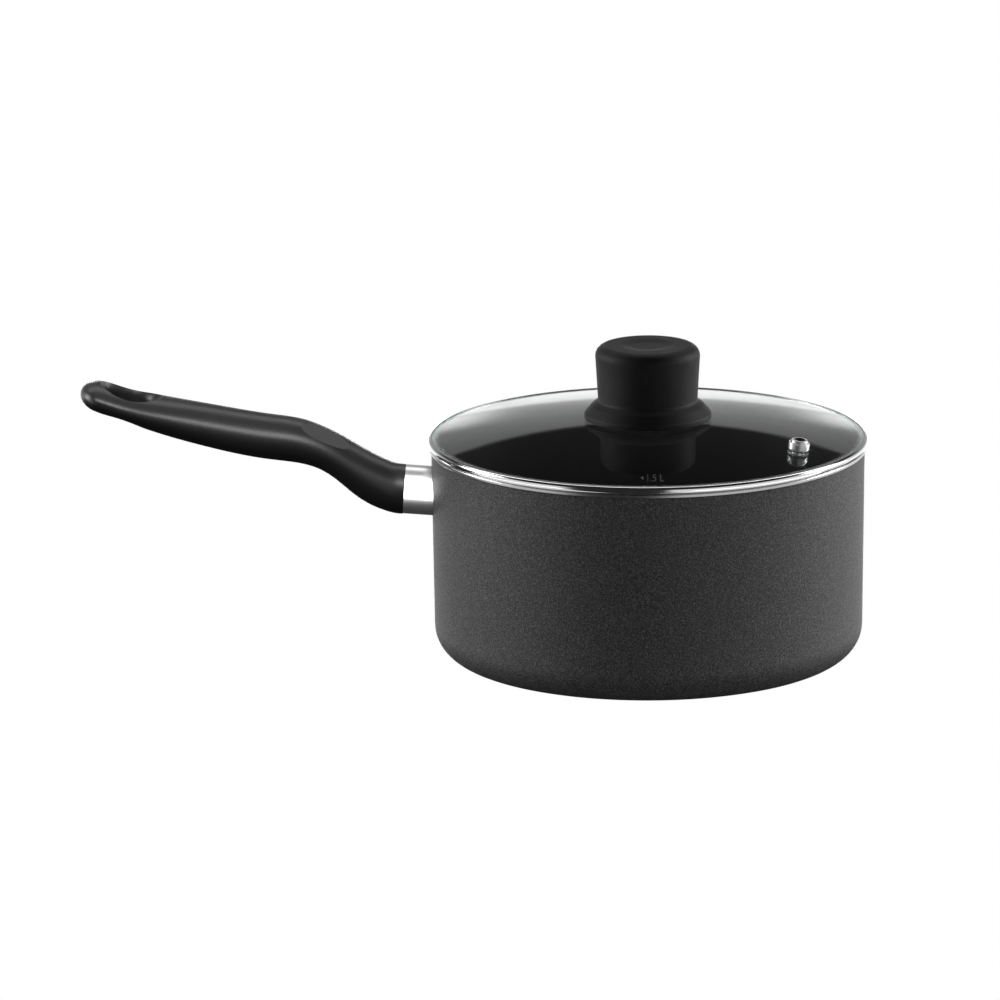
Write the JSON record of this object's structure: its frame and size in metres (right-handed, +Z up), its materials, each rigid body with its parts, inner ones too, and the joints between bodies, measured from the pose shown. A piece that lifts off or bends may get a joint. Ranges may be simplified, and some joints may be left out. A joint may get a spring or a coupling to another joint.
{
  "type": "lidded saucepan",
  "caption": "Straight-sided saucepan with one long curved handle and a lift-off domed glass lid with a knob and a steam vent.",
  "frame": {"origin": "centre of the pan base's flat underside", "axes": "+Z up along the pan's axis; the handle points along -X"},
  "size_m": [0.3593, 0.201, 0.1447],
  "materials": {
    "pan_coating": "speckled textured non-stick coating over aluminium, smooth black inside",
    "bracket_steel": "pressed plain steel",
    "rivet": "coated rivet heads",
    "guard_aluminium": "polished sleeve",
    "phenolic_gloss": "satin black phenolic moulding",
    "fixing_steel": "zinc plated",
    "lid_glass": "clear tempered glass, faint green edge",
    "rim_steel": "polished stainless band",
    "vent_steel": "polished stainless",
    "silicone": "translucent silicone",
    "phenolic_matte": "fine-textured black phenolic",
    "insert_brass": "turned"
  },
  "bodies": {
    "pan": {"pan_body": "pan_coating", "handle_saddle": "bracket_steel", "rivet_lower": "rivet", "rivet_upper": "rivet", "flame_guard": "guard_aluminium", "grip": "phenolic_gloss", "screw_washer": "fixing_steel", "handle_screw": "fixing_steel"},
    "lid": {"lid_glass": "lid_glass", "lid_rim": "rim_steel", "vent_eyelet": "vent_steel", "vent_seal": "silicone", "knob": "phenolic_matte", "knob_pad": "silicone", "under_seal": "silicone", "knob_washer": "fixing_steel", "knob_insert": "insert_brass", "knob_screw": "fixing_steel"}
  },
  "joints": [
    {"name": "lid_lift", "type": "slide", "parent": "pan", "child": "lid", "axis": [0, 0, 1], "range_m": [0, 0.12]}
  ]
}
